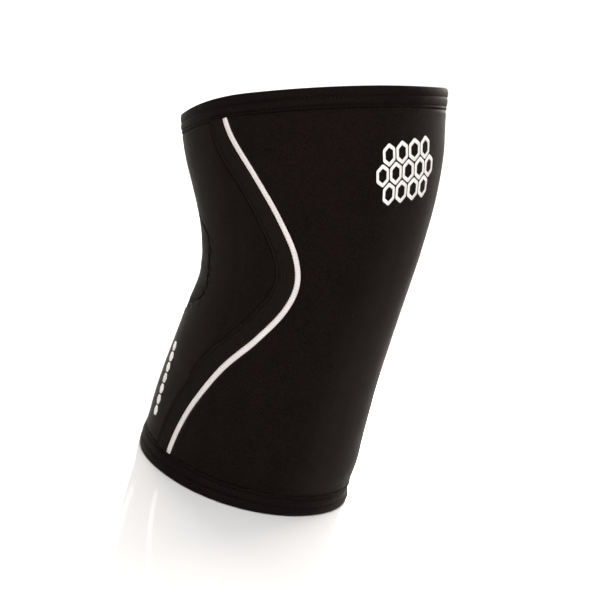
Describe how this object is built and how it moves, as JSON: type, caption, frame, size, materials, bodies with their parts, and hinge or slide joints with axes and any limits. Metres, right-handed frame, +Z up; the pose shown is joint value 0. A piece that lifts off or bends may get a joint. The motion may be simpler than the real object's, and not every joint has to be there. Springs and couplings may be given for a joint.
{
  "type": "knee sleeve",
  "caption": "Pull-on knee sleeve of thick knit-faced foam rubber, bent at the knee, with curved side bands, pale piping, a thin panel behind the knee and bound rims.",
  "frame": {"origin": "under the middle of the sleeve's box, on the surface that its lower rim stands on", "axes": "+Z up along the shin, from the lower rim to the thigh rim; -Y towards the kneecap, so the thigh part leans back towards +Y; -X is the wearer's right side"},
  "size_m": [0.1628, 0.1748, 0.2765],
  "materials": {
    "neoprene": "warm near-black fine knit laminated on foam rubber, matt with a soft sheen at grazing angles",
    "hollow_fabric": "dark brown-grey thin stretch fabric, matt, with crinkled seams",
    "band_fabric": "slightly olive black stitched tape, matt, with lengthwise stitch lines",
    "white_trim": "warm off-white twisted yarn piping and print, satin",
    "hem_binding": "near-black folded binding with rows of stitches, matt"
  },
  "bodies": {
    "root": {"front_panel": "neoprene", "back_panel": "neoprene", "knee_hollow_panel": "hollow_fabric", "side_band_right": "band_fabric", "side_band_left": "band_fabric", "side_piping_right": "white_trim", "side_piping_left": "white_trim", "top_hem": "hem_binding", "bottom_hem": "hem_binding"}
  },
  "joints": []
}
